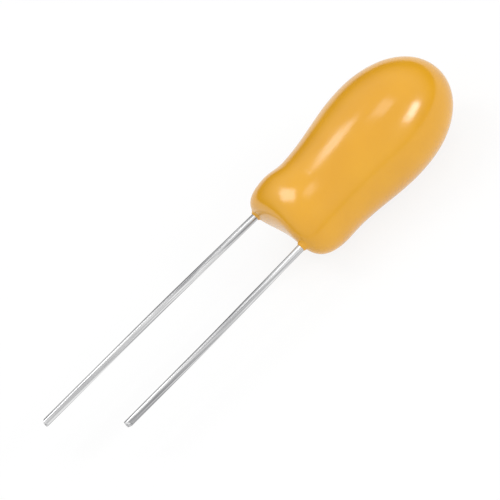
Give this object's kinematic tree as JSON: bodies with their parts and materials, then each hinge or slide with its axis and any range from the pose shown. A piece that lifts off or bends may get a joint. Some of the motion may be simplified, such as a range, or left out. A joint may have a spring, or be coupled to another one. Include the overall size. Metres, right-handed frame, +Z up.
{
  "type": "tantalum capacitor",
  "caption": "Radial tantalum capacitor with a bulb-shaped amber resin coat over a sintered pellet, and two straight tinned wire leads of unequal length.",
  "frame": {"origin": "centre of the bounding box at the table, under the capacitor as it lies on its back", "axes": "+X along the body from the lead tips to the crown, +Z up, the positive (longer) lead on +Y"},
  "size_m": [0.0326, 0.0076, 0.0068],
  "materials": {
    "amber_resin": "glossy dipped epoxy, faintly uneven",
    "tinned_wire": "bright tinned wire with fine drawing lines",
    "sintered_tantalum": "matt sintered powder",
    "tantalum_wire": "drawn wire",
    "white_polymer": "smooth",
    "manganese_dioxide": "matt, fine-grained",
    "graphite": "matt with a slight metallic sheen",
    "silver_paint": "matt silver-filled paint",
    "solder": "bright solder"
  },
  "bodies": {
    "root": {"resin_coat": "amber_resin", "positive_lead": "tinned_wire", "negative_lead": "tinned_wire", "tantalum_pellet": "sintered_tantalum", "riser_wire": "tantalum_wire", "insulating_washer": "white_polymer", "manganese_dioxide_coat": "manganese_dioxide", "graphite_coat": "graphite", "silver_coat": "silver_paint", "weld_bead": "tantalum_wire", "solder_joint": "solder"}
  },
  "joints": []
}
